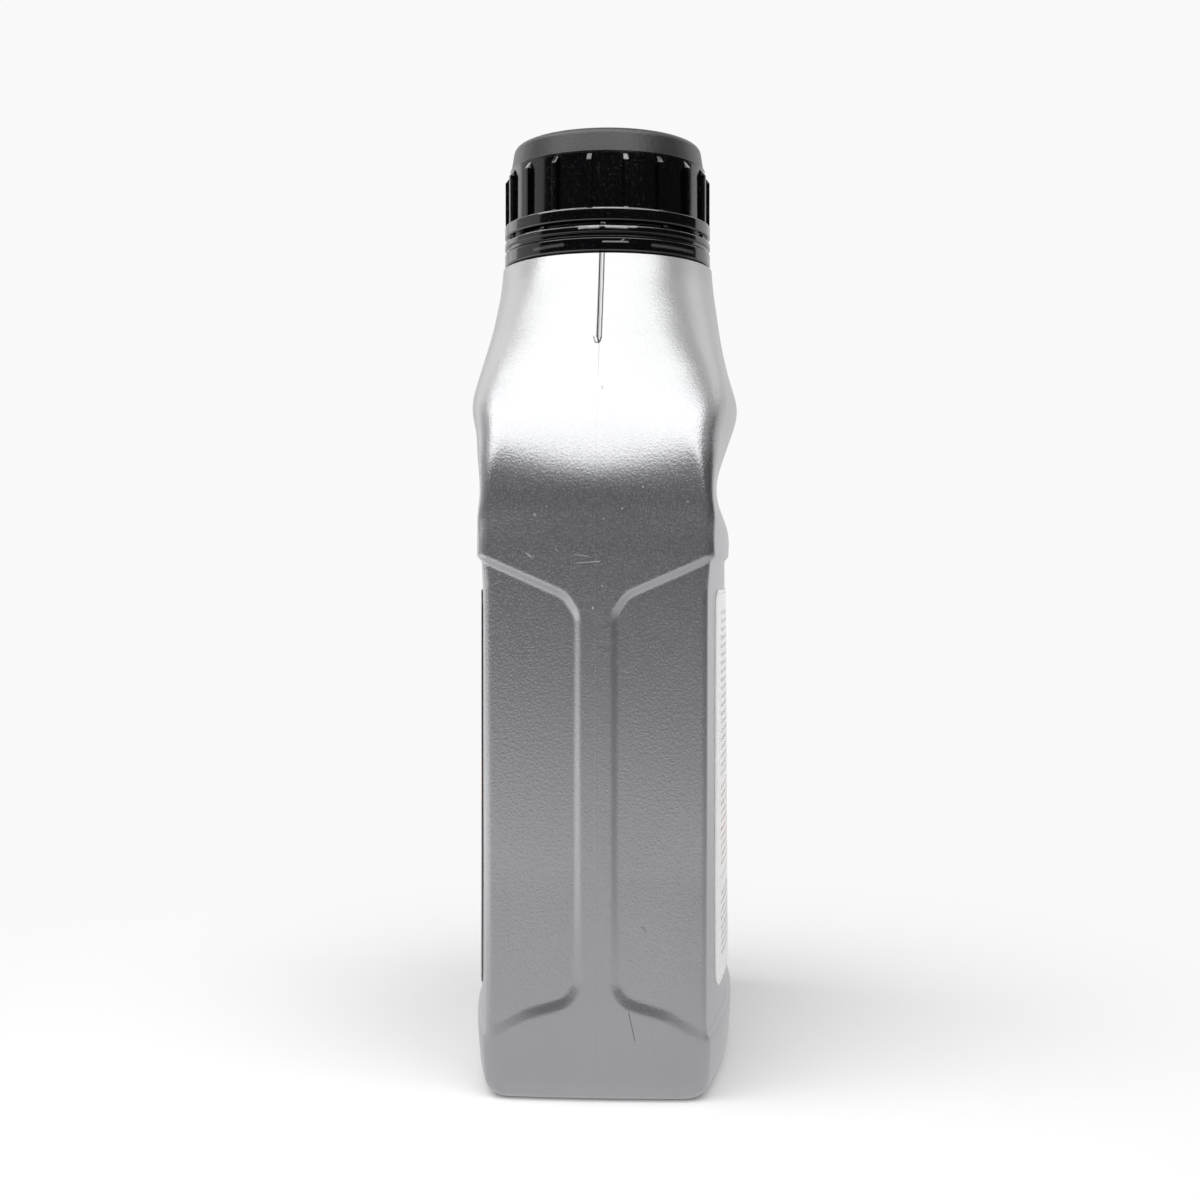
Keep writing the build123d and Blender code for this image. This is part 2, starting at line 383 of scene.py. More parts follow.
def use_group(tree, group, **values):
    """Outputs of a group placed in a tree, its inputs named with underscores for spaces."""
    inputs = {name.replace("_", " "): value for name, value in values.items()}
    return add_node(tree, "ShaderNodeGroup", inputs, node_tree=group).outputs


def place_of(tree):
    """Place on the piece in metres, as a vector and as its three parts."""
    place = add_node(tree, "ShaderNodeTexCoord").outputs["Object"]
    return place, *add_node(tree, "ShaderNodeSeparateXYZ", {0: place}).outputs


def new_finish(name):
    """New material with its node tree and its shader."""
    material = bpy.data.materials.new(name)
    material.use_nodes = True
    return material, material.node_tree, material.node_tree.nodes["Principled BSDF"]


def finish_surface(tree, shader, colour, roughness, height, distance, strength=1.0):
    """Colour, roughness and raised relief of a surface, the relief's distance in metres."""
    bump = add_node(tree, "ShaderNodeBump", {
        "Strength": strength, "Distance": distance, "Height": height})
    tree.links.new(colour, shader.inputs["Base Color"])
    tree.links.new(roughness, shader.inputs["Roughness"])
    tree.links.new(bump.outputs["Normal"], shader.inputs["Normal"])


# Leather grain of the mould: irregular raised pebbles of one cell size, with creases between them
crease_width = 0.32
pebble_share = 0.7
fine_share = 0.6
cells_in_cloud = 30.0
grain, given, put = new_group(
    "moulded_grain", {"Place": (0, 0, 0), "Cell Size": 0.001}, {"Height": 0.0, "Clouds": 0.0})
scale = maths(grain, "DIVIDE", 1.0, given["Cell Size"])
fine = add_node(grain, "ShaderNodeTexNoise", {
    "Vector": given["Place"], "Scale": scale, "Detail": 1.0, "Roughness": 0.5})
pull = add_node(grain, "ShaderNodeVectorMath", {
    0: fine.outputs["Color"], "Scale": given["Cell Size"]}, operation="SCALE")
pulled = vector_maths(grain, "ADD", given["Place"], pull.outputs[0])
crease = add_node(grain, "ShaderNodeTexVoronoi", {
    "Vector": pulled.outputs[0], "Scale": scale}, feature="DISTANCE_TO_EDGE")
pebble = remap(grain, crease.outputs["Distance"], 0.0, crease_width, smooth=True)
raised = times(grain, pebble, pebble_share)
height = plus(grain, raised, times(grain, fine.outputs["Fac"], fine_share))
wide_scale = maths(grain, "DIVIDE", scale, cells_in_cloud)
clouds = add_node(grain, "ShaderNodeTexNoise", {
    "Vector": given["Place"], "Scale": wide_scale, "Detail": 3.0})
grain.links.new(height, put["Height"])
grain.links.new(clouds.outputs["Fac"], put["Clouds"])

# Short straight line on the near narrow side, from one point to another, masking scuffs, marks and painted
# light
near_side_from = 0.01
short_line, given, put = new_group(
    "short_scuff", {"Place": (0, 0, 0), "Start": (0, 0, 0), "End": (0, 0, 0), "Width": 0.0002},
    {"Mask": 0.0})
flat_place = vector_maths(short_line, "MULTIPLY", given["Place"], (0, 1, 1)).outputs[0]
from_start = vector_maths(short_line, "SUBTRACT", flat_place, given["Start"]).outputs[0]
along = vector_maths(short_line, "SUBTRACT", given["End"], given["Start"]).outputs[0]
reach = vector_maths(short_line, "DOT_PRODUCT", from_start, along).outputs["Value"]
length = vector_maths(short_line, "DOT_PRODUCT", along, along).outputs["Value"]
share = add_node(short_line, "ShaderNodeClamp", {0: maths(short_line, "DIVIDE", reach, length)}).outputs[0]
nearest = add_node(short_line, "ShaderNodeVectorMath", {0: along, "Scale": share}, operation="SCALE").outputs[0]
gap = vector_maths(short_line, "DISTANCE", from_start, nearest).outputs["Value"]
mask = remap(short_line, gap, given["Width"], 0.0, smooth=True)
depth_part = add_node(short_line, "ShaderNodeSeparateXYZ", {0: given["Place"]}).outputs["X"]
on_near_side = maths(short_line, "GREATER_THAN", depth_part, near_side_from)
short_line.links.new(times(short_line, mask, on_near_side), put["Mask"])


def line_masks(tree, place, line_marks, longer=0.0):
    """Mask of each short line in a list times its strength, each made longer where it may be a dot."""
    for (start_y, start_z), (end_y, end_z), width, strength in line_marks:
        start = (0, start_y * millimetre, start_z * millimetre)
        end = (0, (end_y + longer) * millimetre, end_z * millimetre)
        mask = use_group(tree, short_line, Place=place, Start=start, End=end, Width=width * millimetre)["Mask"]
        yield times(tree, mask, strength)


# Near side of the bottle: scuffs and marks as distance from the parting line and height of their two ends,
# half width and strength, light where the skin is rubbed, dark as painted shade in the flash's slit and
# hook and as dark marks
light_scuffs = [
    ((-3.7, 98.0), (-1.3, 97.7), 0.14, 0.7), ((-3.3, 96.5), (0.8, 96.8), 0.14, 0.8),
    ((-12.4, 98.3), (-11.6, 97.6), 0.22, 0.8), ((-11.6, 97.6), (-11.1, 97.6), 0.16, 0.6),
    ((-10.9, 105.2), (-10.8, 105.0), 0.28, 0.9), ((4.7, 106.2), (4.7, 106.1), 0.24, 0.9),
    ((8.4, 110.0), (8.4, 109.9), 0.22, 0.8), ((16.4, 107.4), (16.4, 107.3), 0.24, 0.8),
    ((-0.5, 88.6), (-0.5, 88.4), 0.26, 1.0), ((-8.8, 106.6), (-8.8, 106.5), 0.20, 0.7),
    ((1.4, 104.4), (1.5, 104.2), 0.20, 0.7), ((1.1, 92.5), (1.2, 92.2), 0.20, 0.7),
    ((-7.2, 99.0), (-6.7, 98.6), 0.14, 0.6), ((5.3, 77.2), (5.6, 76.9), 0.20, 0.5),
]
# The first seven lines are painted shade in the slit and hooked end of the flash, the rest dark marks
slit_shade_and_dark_marks = [
    ((-0.42, 156.4), (-0.44, 138.6), 0.30, 1.0), ((0.42, 156.4), (0.34, 138.4), 0.20, 0.8),
    ((-0.44, 138.6), (-0.10, 137.3), 0.24, 0.9), ((-0.10, 137.3), (0.34, 138.4), 0.22, 0.9),
    ((-0.10, 137.3), (-0.76, 137.4), 0.22, 0.8), ((-0.76, 137.4), (-1.10, 138.6), 0.20, 0.7),
    ((0.0, 137.2), (0.0, 131.0), 0.10, 0.25),
    ((5.9, 16.2), (7.0, 11.3), 0.16, 0.6), ((0.8, 128.6), (0.9, 128.2), 0.24, 0.35),
    ((8.4, 31.5), (8.9, 30.6), 0.30, 0.25), ((6.0, 25.6), (6.1, 25.4), 0.22, 0.3),
]

# Pigmented skin: a cooler tone low down and a neutral one on the shoulder, each as its darker and
# its lighter clouds, and a grain that is deeper on the shoulder
low_tones = (0.410, 0.411, 0.428), (0.452, 0.454, 0.472)
high_tones = (0.415, 0.417, 0.418), (0.458, 0.460, 0.462)
tone_change = 0.105, 0.135
rubbed_light = (0.78, 0.78, 0.79)
# Near black of the painted shade in the flash's slit, also used for the dark marks
painted_shade_and_mark_dark = (0.012, 0.012, 0.012)
# Extra roughness over the scuffs, marks and painted light
roughness_over_marks = 0.2
silver_cell = 0.00075
silver_metallic = 0.92
silver_roughness = 0.30, 0.35
grain_heights = 0.2, 0.9
silver_relief = 0.000018
low_relief = 0.72
relief_change = 0.098, 0.120
silver_plastic, tree, shader = new_finish("silver_plastic")
place, _, _, place_z = place_of(tree)
texture = use_group(tree, grain, Place=place, Cell_Size=silver_cell)
low_tone = blended(tree, texture["Clouds"], *low_tones)
high_tone = blended(tree, texture["Clouds"], *high_tones)
colour = blended(tree, remap(tree, place_z, *tone_change), low_tone, high_tone)
marks_and_painted_light = 0.0
# Light scuffs, then painted shade in the flash's slit and dark marks, laid over the skin colour
for line_marks, tint in ((light_scuffs, rubbed_light), (slit_shade_and_dark_marks, painted_shade_and_mark_dark)):
    for mask in line_masks(tree, place, line_marks, longer=0.01):
        colour = blended(tree, mask, colour, tint)
        marks_and_painted_light = maths(tree, "MAXIMUM", marks_and_painted_light, mask)
shader.inputs["Metallic"].default_value = silver_metallic
fine_rough = remap(tree, texture["Height"], *grain_heights, *silver_roughness)
roughness = plus(tree, fine_rough, times(tree, marks_and_painted_light, roughness_over_marks))
depth_share = remap(tree, place_z, *relief_change, low_relief, 1.0, smooth=True)
relief = times(tree, texture["Height"], depth_share)
finish_surface(tree, shader, colour, roughness, relief, silver_relief)

# Columns of the skin along a quarter of its outline, closest on the narrow side and its corner
column_shares = np.concatenate([
    np.linspace(0, 0.30, 61)[:-1],
    np.linspace(0.30, 0.40, 15)[:-1],
    np.linspace(0.40, 1.0, 21),
])

# Base pocket, neck with its lock bead and rounded lip, and the bore
rim_width = 6.5
push_up = 1.6
push_up_taper = math.radians(35)
push_up_corner = 6.0
neck_radius = 17.4
bore_radius = 15.8
neck_top = 178.2
lock_bead_low = 159.5
lock_bead_high = 161.1
lock_bead_radius = 19.0
lock_bead_ramp = 1.4
lip_radius = 0.5

loops = []
pocket_half_width = body_width / 2 - rim_width
pocket_half_depth = base_depth / 2 - rim_width - foot_radius
flat = 4000.0
for grow, height in ((-push_up * math.tan(push_up_taper), push_up), (0, 0)):
    plan = (pocket_half_width + grow, pocket_half_depth + grow, flat, flat, push_up_corner + grow)
    quarter, _ = quarter_outline(plan, column_shares)
    loop = full_loop(quarter)
    loops.append(np.column_stack([loop, np.full(len(loop), height)]))
for degrees in range(0, 90, 15):
    angle = math.radians(degrees)
    loops.append(skin_loop(foot_radius * (1 - math.cos(angle)), foot_radius * (1 - math.sin(angle))))
skin_stops = (foot_radius, 1.5), (10.0, 0.34), (22.0, 2.5), (84.5, 0.34), (99.6, 1.0), (shoulder_top, 1)
for height in steps(*skin_stops):
    loops.append(skin_loop(height, 0))
for radius, height in (
        (neck_radius + 1, shoulder_top), (neck_radius, shoulder_top),
        (neck_radius, lock_bead_low), (lock_bead_radius, lock_bead_low),
        (lock_bead_radius, lock_bead_high), (neck_radius, lock_bead_high + lock_bead_ramp),
        (neck_radius, neck_top - lip_radius)):
    loops.append(circle_loop(radius, height))
for degrees in (30, 60, 90):
    angle = math.radians(degrees)
    reach = neck_radius - lip_radius + lip_radius * math.cos(angle)
    loops.append(circle_loop(reach, neck_top - lip_radius + lip_radius * math.sin(angle)))
for degrees in (90, 60, 30, 0):
    angle = math.radians(degrees)
    reach = bore_radius + lip_radius - lip_radius * math.cos(angle)
    loops.append(circle_loop(reach, neck_top - lip_radius + lip_radius * math.sin(angle)))
loops.append(circle_loop(bore_radius, shoulder_top - wall))
cavity_heights = steps((push_up + wall, 8), (recess_top + wall, 3), (shoulder_top - wall, 1))
for height in reversed(cavity_heights):
    loops.append(skin_loop(height, wall))
bottle = new_piece("bottle_skin", loops_to_mesh("bottle_skin", loops), silver_plastic)
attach(bottle, "bottle_body")
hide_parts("bottle")

# Flash and thread of the bottle
# The mould's two halves leave a hair-fine bead down each narrow side, a folded lip of flash with
# a slit in it below the neck, and the neck carries a two-turn thread for the cap.
bead_half_width = 0.12
bead_rise = 0.025
bead_low = 4.0
flash_half_width = 0.42
flash_rise = 0.14
slit_half_width = 0.12
flash_low = 137.3
flash_high = shoulder_top
thread_pitch = 4.2
thread_turns = 2.1
thread_low = 165.3
thread_reach = 0.75
thread_fade = 0.08
thread_end_share = 0.35


def start_shape_tree(name, **sockets):
    """Geometry tree with named inputs, each given with its kind, and one mesh output."""
    tree = bpy.data.node_groups.new(name, "GeometryNodeTree")
    for socket_name, kind in sockets.items():
        tree.interface.new_socket(
            name=socket_name.replace("_", " "), in_out="INPUT", socket_type="NodeSocket" + kind)
    tree.interface.new_socket(name="Mesh", in_out="OUTPUT", socket_type="NodeSocketGeometry")
    return tree, tree.nodes.new("NodeGroupInput").outputs


def end_shape_tree(tree, shape, finish):
    """Ends a geometry tree with real meshes of one material."""
    real = add_node(tree, "GeometryNodeRealizeInstances", {0: shape}).outputs[0]
    done = add_node(tree, "GeometryNodeSetMaterial", {0: real, "Material": finish}).outputs[0]
    tree.links.new(done, tree.nodes.new("NodeGroupOutput").inputs[0])
    return tree


def sweep_tree(name):
    """Geometry tree that sweeps an outline along the edges of the mesh it is given."""
    tree, given = start_shape_tree(
        name, Path="Geometry", Outline="Object", Sideways="Vector", Finish="Material")
    path = add_node(tree, "GeometryNodeMeshToCurve", {0: given["Path"]}).outputs[0]
    turned = add_node(tree, "GeometryNodeSetCurveNormal", {
        0: path, "Normal": given["Sideways"]}, mode="FREE")
    outline = add_node(tree, "GeometryNodeObjectInfo", {"Object": given["Outline"]}).outputs["Geometry"]
    section = add_node(tree, "GeometryNodeMeshToCurve", {0: outline}).outputs[0]
    swept = add_node(tree, "GeometryNodeCurveToMesh", {
        "Curve": turned.outputs[0], "Profile Curve": section, "Fill Caps": True}).outputs[0]
    return end_shape_tree(tree, swept, given["Finish"])


def line_mesh(name, points, closed=False):
    """Mesh of edges through points given in millimetres."""
    count = len(points)
    edges = [(index, index + 1) for index in range(count - 1)]
    if closed:
        edges.append((count - 1, 0))
    mesh = bpy.data.meshes.new(name)
    mesh.from_pydata([[part * millimetre for part in point] for point in points], edges, [])
    return mesh


def grown_mesh(name, start_mesh, tree, **values):
    """Plain mesh that a geometry tree makes of a start mesh, its inputs set by their identifiers."""
    carrier = placed(name, start_mesh)
    modifier = carrier.modifiers.new(name, "NODES")
    modifier.node_group = tree
    for socket in tree.interface.items_tree:
        if socket.in_out == "INPUT" and socket.name.replace(" ", "_") in values:
            modifier[socket.identifier] = values[socket.name.replace(" ", "_")]
    ready = carrier.evaluated_get(bpy.context.evaluated_depsgraph_get())
    mesh = bpy.data.meshes.new_from_object(ready)
    bpy.data.objects.remove(carrier)
    return mesh


def outline_object(name, points):
    """Hidden outline in the XY plane that a sweep reads."""
    return bpy.data.objects.new(name, line_mesh(name, [(x, y, 0) for x, y in points], closed=True))


def joined(name, meshes):
    """One mesh from several."""
    whole = bmesh.new()
    for mesh in meshes:
        whole.from_mesh(mesh)
    bmesh.ops.recalc_face_normals(whole, faces=whole.faces)
    mesh = bpy.data.meshes.new(name)
    whole.to_mesh(mesh)
    return mesh


sweep = sweep_tree("sweep_along_line")
bead_outline = outline_object("bead_outline", [
    (bead_half_width, -bead_rise), (bead_half_width / 2, bead_rise),
    (-bead_half_width / 2, bead_rise), (-bead_half_width, -bead_rise)])
lip = flash_half_width
rise = flash_rise
flash_outline = outline_object("flash_outline", [
    (lip, -rise), (lip * 0.8, rise * 0.6), (slit_half_width * 2, rise), (slit_half_width, rise * 0.7),
    (slit_half_width * 0.5, 0.02), (-slit_half_width * 0.5, 0.02), (-slit_half_width, rise * 0.7),
    (-slit_half_width * 2, rise), (-lip * 0.8, rise * 0.6), (-lip, -rise)])
flash_meshes = []
for side in (1, -1):
    for name, outline, high, low, gap in (
            ("bead", bead_outline, flash_low, bead_low, 1.5),
            ("flash", flash_outline, flash_high, flash_low, 0.8)):
        path = [(side * plan_of(height)[0], 0, height) for height in np.arange(high, low, -gap)]
        flash_meshes.append(grown_mesh(
            name, line_mesh(name, path), sweep, Outline=outline, Sideways=(0, side, 0),
            Finish=silver_plastic))
flash = new_piece("mould_flash", joined("mould_flash", flash_meshes), silver_plastic)
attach(flash, "bottle_body")


def thread_tree(name):
    """Geometry tree of a screw thread: a half-sunk round bead on a spiral, thinned out at both ends."""
    tree, given = start_shape_tree(
        name, Start="Geometry", Turns="Float", Pitch="Float", Radius="Float", Bead="Float",
        Low_End="Vector", Finish="Material")
    rise = times(tree, given["Turns"], given["Pitch"])
    spiral = add_node(tree, "GeometryNodeCurveSpiral", {
        "Resolution": 72, "Rotations": given["Turns"], "Start Radius": given["Radius"],
        "End Radius": given["Radius"], "Height": rise}).outputs[0]
    moved = add_node(tree, "GeometryNodeTransform", {
        "Geometry": spiral, "Translation": given["Low End"]}).outputs[0]
    along = add_node(tree, "GeometryNodeSplineParameter").outputs["Factor"]
    from_end = maths(tree, "MINIMUM", along, minus(tree, 1.0, along))
    fade = remap(tree, from_end, 0.0, thread_fade, thread_end_share, 1.0)
    shaped = add_node(tree, "GeometryNodeSetCurveRadius", {"Curve": moved, "Radius": fade}).outputs[0]
    section = add_node(tree, "GeometryNodeCurvePrimitiveCircle", {
        "Resolution": 10, "Radius": given["Bead"]}).outputs[0]
    swept = add_node(tree, "GeometryNodeCurveToMesh", {
        "Curve": shaped, "Profile Curve": section, "Scale": fade, "Fill Caps": True}).outputs[0]
    return end_shape_tree(tree, swept, given["Finish"])


thread = thread_tree("screw_thread")


def thread_mesh(name, low, turns, radius, reach, finish):
    """Mesh of a thread of the common pitch that starts at a height and reaches past a radius."""
    return grown_mesh(
        name, line_mesh(name + "_start", [(0, 0, 0), (0, 0, 1)]), thread, Turns=turns,
        Pitch=thread_pitch * millimetre, Radius=radius * millimetre, Bead=reach * millimetre,
        Low_End=(0, 0, low * millimetre), Finish=finish)


neck_thread_mesh = thread_mesh(
    "neck_thread", thread_low, thread_turns, neck_radius, thread_reach, silver_plastic)
neck_thread = new_piece("neck_thread", joined("neck_thread", [neck_thread_mesh]), silver_plastic)
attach(neck_thread, "bottle_body")

# Labels
# Two film labels glued into the recess, near black on the front and white on the back, printed
# with plain fields, rules and rows of small bars.
edge_blur = 0.04
printed_area = {"Across": 0.0, "Up": 0.0, "Left": 0.0, "Right": 1.0, "Low": 0.0, "High": 1.0}
field, given, put = new_group("printed_field", {**printed_area, "Corner": 0.5}, {"Mask": 0.0})
from_middle = []
for axis, low, high in (("Across", "Left", "Right"), ("Up", "Low", "High")):
    middle = times(field, plus(field, given[low], given[high]), 0.5)
    half = times(field, minus(field, given[high], given[low]), 0.5)
    away = maths(field, "ABSOLUTE", minus(field, given[axis], middle))
    from_middle.append(plus(field, minus(field, away, half), given["Corner"]))
outside = [maths(field, "MAXIMUM", part, 0.0) for part in from_middle]
inner = maths(field, "MINIMUM", maths(field, "MAXIMUM", *from_middle), 0.0)
reach = plus(field, diagonal(field, *outside), inner)
edge = minus(field, reach, given["Corner"])
field.links.new(remap(field, edge, edge_blur, -edge_blur), put["Mask"])

# Rows of bars of uneven length: half a bar's height as a share of the pitch, the bars' shares of
# their places, how far a row is shifted, and the most that its end falls short
bar_half_height = 0.22
bar_shares = 0.55, 0.93
row_shift = 7.0
row_shortfall = 0.5
rows, given, put = new_group(
    "printed_rows", {**printed_area, "Pitch": 1.6, "Bar": 3.0, "Seed": 0.0}, {"Mask": 0.0})
row_place = maths(rows, "DIVIDE", minus(rows, given["Up"], given["Low"]), given["Pitch"])
row = maths(rows, "FLOOR", row_place)
from_row = maths(rows, "ABSOLUTE", minus(rows, maths(rows, "FRACT", row_place), 0.5))
on_row = maths(rows, "LESS_THAN", from_row, bar_half_height)
row_key = add_node(rows, "ShaderNodeCombineXYZ", {"X": row, "Y": given["Seed"]}).outputs[0]
row_chance = add_node(rows, "ShaderNodeTexWhiteNoise", {"Vector": row_key}).outputs["Value"]
shift = times(rows, row_chance, row_shift)
bar_place = plus(rows, maths(rows, "DIVIDE", given["Across"], given["Bar"]), shift)
bar_key = add_node(rows, "ShaderNodeCombineXYZ", {
    "X": maths(rows, "FLOOR", bar_place), "Y": row, "Z": given["Seed"]}).outputs[0]
bar_chance = add_node(rows, "ShaderNodeTexWhiteNoise", {"Vector": bar_key}).outputs["Value"]
bar_share = remap(rows, bar_chance, 0.0, 1.0, *bar_shares)
on_bar = maths(rows, "LESS_THAN", maths(rows, "FRACT", bar_place), bar_share)
row_length = minus(rows, given["Right"], given["Left"])
short_share = times(rows, maths(rows, "POWER", row_chance, 3.0), row_shortfall)
row_end = minus(rows, given["Right"], times(rows, row_length, short_share))
mask = times(rows, on_row, on_bar)
for operation, first, second in (
        ("GREATER_THAN", given["Across"], given["Left"]), ("LESS_THAN", given["Across"], row_end),
        ("GREATER_THAN", given["Up"], given["Low"]), ("LESS_THAN", given["Up"], given["High"])):
    mask = times(rows, mask, maths(rows, operation, first, second))
rows.links.new(mask, put["Mask"])


def print_fields(tree, across, up, colour, fields):
    """Ground colour with rounded fields over it, each as its four edges, corner and colour."""
    for left, right, low, high, corner, tint in fields:
        mask = use_group(
            tree, field, Across=across, Up=up, Left=left, Right=right, Low=low, High=high,
            Corner=corner)["Mask"]
        colour = blended(tree, mask, colour, tint)
    return colour


def print_rows(tree, across, up, colour, blocks, tint):
    """Ground colour with blocks of small bars over it, each as its four edges, pitch and bar length."""
    for seed, (left, right, low, high, pitch, bar) in enumerate(blocks):
        mask = use_group(
            tree, rows, Across=across, Up=up, Left=left, Right=right, Low=low, High=high,
            Pitch=pitch, Bar=bar, Seed=float(seed))["Mask"]
        colour = blended(tree, mask, colour, tint)
    return colour


def label_film(name, node, roughness, facing, ground, fields, row_blocks):
    """Printed film put on a label: ground colour, fields, then blocks of rows with their colour."""
    material, tree, shader = new_finish(name)
    place, place_x, _, place_z = place_of(tree)
    across = times(tree, place_x, facing / millimetre)
    up = maths(tree, "DIVIDE", place_z, millimetre)
    film = use_group(tree, grain, Place=place, Cell_Size=film_cell)
    worn = remap(tree, film["Clouds"], 0.3, 0.7, roughness - film_smoother, roughness + film_rougher)
    colour = print_fields(tree, across, up, ground, fields)
    for blocks, ink in row_blocks:
        colour = print_rows(tree, across, up, colour, blocks, ink)
    finish_surface(tree, shader, colour, worn, film["Height"], film_relief, film_bump)
    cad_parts[node].data.materials.clear()
    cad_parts[node].data.materials.append(material)


film_cell = 0.0022
film_relief = 0.00002
film_bump = 0.6
film_smoother = 0.05
film_rougher = 0.06
ink_black = (0.018, 0.018, 0.020)
ink_silver = (0.42, 0.43, 0.45)
ink_red = (0.42, 0.025, 0.02)
ink_pale = (0.90, 0.90, 0.89)
ink_grey = (0.25, 0.25, 0.25)
ink_rim = (0.6, 0.6, 0.6)
ink_rose = (0.50, 0.24, 0.22)
label_film("dark_label", "front_label", 0.30, 1, ink_black, [
    (-33.6, 33.6, 19.2, 90.1, 3.0, ink_silver), (-33.2, 33.2, 19.6, 89.7, 2.7, ink_black),
    (-24.0, 24.0, 66.0, 80.0, 2.0, ink_silver), (-33.2, 33.2, 52.0, 60.0, 0.0, ink_red),
    (-9.0, 9.0, 30.0, 48.0, 9.0, ink_silver), (-8.0, 8.0, 31.0, 47.0, 8.0, ink_black),
    (-3.2, 3.2, 35.8, 42.2, 3.2, ink_silver),
], [
    ([(-29.0, -13.0, 31.0, 47.0, 3.2, 6.0), (13.0, 29.0, 31.0, 47.0, 3.2, 6.0),
      (-22.0, 22.0, 22.5, 26.5, 2.0, 4.0)], ink_pale),
])
label_film("white_label", "back_label", 0.22, -1, ink_pale, [
    (-34.4, 34.4, 18.4, 90.9, 3.6, ink_rim), (-34.2, 34.2, 18.6, 90.7, 3.5, ink_pale),
    (14.0, 31.0, 80.5, 87.5, 1.0, ink_black), (19.0, 31.0, 22.0, 34.0, 1.0, ink_red),
    (20.4, 29.6, 23.4, 32.6, 0.6, ink_pale), (-28.0, 31.0, 37.0, 37.3, 0.1, ink_grey),
], [
    ([(-28.0, -1.0, 56.0, 88.0, 1.6, 2.6), (2.0, 31.0, 56.0, 78.5, 1.6, 2.6),
      (-28.0, 16.0, 22.0, 34.5, 1.6, 2.6)], ink_grey),
    ([(-28.0, -1.0, 39.0, 55.0, 1.6, 2.6), (2.0, 31.0, 39.0, 55.0, 1.6, 2.6)], ink_rose),
])

# Tamper band
# A thin ring moulded in one shot with the cap, caught under the bead of the neck, grooved round
# its middle and joined to the cap by small bridges that tear at the first opening.
black_tones = (0.0010, 0.0008, 0.0012), (0.0022, 0.0018, 0.0024)
# Pale of the painted highlights on the edges of the cap and band
painted_highlight_pale = (0.50, 0.49, 0.50)
black_cell = 0.0004
black_relief = 0.00002
black_peaks = 1.02, 1.2
patches_per_metre = 150.0
patch_edge = 0.47, 0.60
crown_change = 0.1755, 0.1765
panel_roughness, crown_roughness = 0.10, 0.36
panel_leather, crown_leather = 0.12, 1.1
black_specular = 0.9

# Painted highlights on edges, as the low and high end, the radius outside which they lie and how strongly,
# and then painted highlight lines on the near side of the flange and band, given as the bottle's scuffs are
painted_edge_highlights = [
    (161.25, 161.75, 20.55, 0.5), (164.70, 165.1, 20.6, 0.45), (174.2, 176.4, 20.05, 0.35)]
edge_fade = 0.1
painted_highlight_lines = [
    ((-12.6, 164.75), (-9.9, 164.85), 0.26, 0.6), ((-8.2, 164.85), (-5.3, 164.9), 0.24, 0.5),
    ((-1.8, 164.95), (4.9, 164.95), 0.28, 0.95), ((4.9, 164.9), (10.7, 164.8), 0.20, 0.4),
    ((-4.5, 161.1), (-2.6, 161.2), 0.40, 0.8), ((-2.6, 161.25), (-0.9, 161.3), 0.55, 1.0),
    ((0.7, 161.25), (4.6, 161.15), 0.42, 0.9), ((4.6, 161.2), (6.5, 161.3), 0.30, 0.7),
    ((0.1, 158.35), (4.9, 158.35), 0.24, 0.6), ((3.6, 158.5), (4.1, 158.8), 0.22, 0.5),
    ((-13.6, 157.9), (-7.8, 158.1), 0.50, 0.16), ((9.6, 158.0), (17.3, 157.9), 0.50, 0.14)]
black_plastic, tree, shader = new_finish("black_plastic")
place, place_x, place_y, place_z = place_of(tree)
texture = use_group(tree, grain, Place=place, Cell_Size=black_cell)
colour = blended(tree, texture["Clouds"], *black_tones)
from_axis = diagonal(tree, place_x, place_y)
patch = add_node(tree, "ShaderNodeTexNoise", {
    "Vector": place, "Scale": patches_per_metre, "Detail": 2.0}).outputs["Fac"]
patchy = remap(tree, patch, *patch_edge)
# Painted highlights on the band's top edge, the flange's top edge and the rib tops, broken into patches
marks_and_painted_light = 0.0
for low, high, inner, strength in painted_edge_highlights:
    above = remap(tree, place_z, low * millimetre, (low + edge_fade) * millimetre)
    below = remap(tree, place_z, high * millimetre, (high - edge_fade) * millimetre)
    out = remap(tree, from_axis, inner * millimetre, (inner + edge_fade) * millimetre)
    band = times(tree, times(tree, above, below), out)
    marks_and_painted_light = maths(tree, "MAXIMUM", marks_and_painted_light, times(tree, band, strength))
marks_and_painted_light = times(tree, marks_and_painted_light, patchy)
# Painted highlight lines on the near side of the flange and band
for mask in line_masks(tree, place, painted_highlight_lines):
    marks_and_painted_light = maths(tree, "MAXIMUM", marks_and_painted_light, mask)
colour = blended(tree, marks_and_painted_light, colour, painted_highlight_pale)
on_crown = remap(tree, place_z, *crown_change)
satin = remap(tree, on_crown, 0.0, 1.0, panel_roughness, crown_roughness)
roughness = plus(tree, satin, times(tree, marks_and_painted_light, roughness_over_marks))
shader.inputs["Specular IOR Level"].default_value = black_specular
peaks = remap(tree, texture["Height"], *black_peaks)
leather_depth = remap(tree, on_crown, 0.0, 1.0, panel_leather, crown_leather)
leather = times(tree, texture["Height"], leather_depth)
finish_surface(tree, shader, colour, roughness, plus(tree, leather, peaks), black_relief)

round_columns = 168
band_low = 156.5
band_high = 161.6
ring_radius = 21.0
band_inner_radius = 19.35
hook_radius = 18.1
hook_top = 159.15
groove_low = 159.1
groove_high = 160.3
groove_depth = 0.5
band_bevel = 0.4
bridge_count = 10
bridge_first_turn = math.radians(0.15)
bridge_width = 1.3
bridge_taper = 0.7
bridge_depth = 1.0
bridge_height = 1.0
bridge_bevel = 0.1


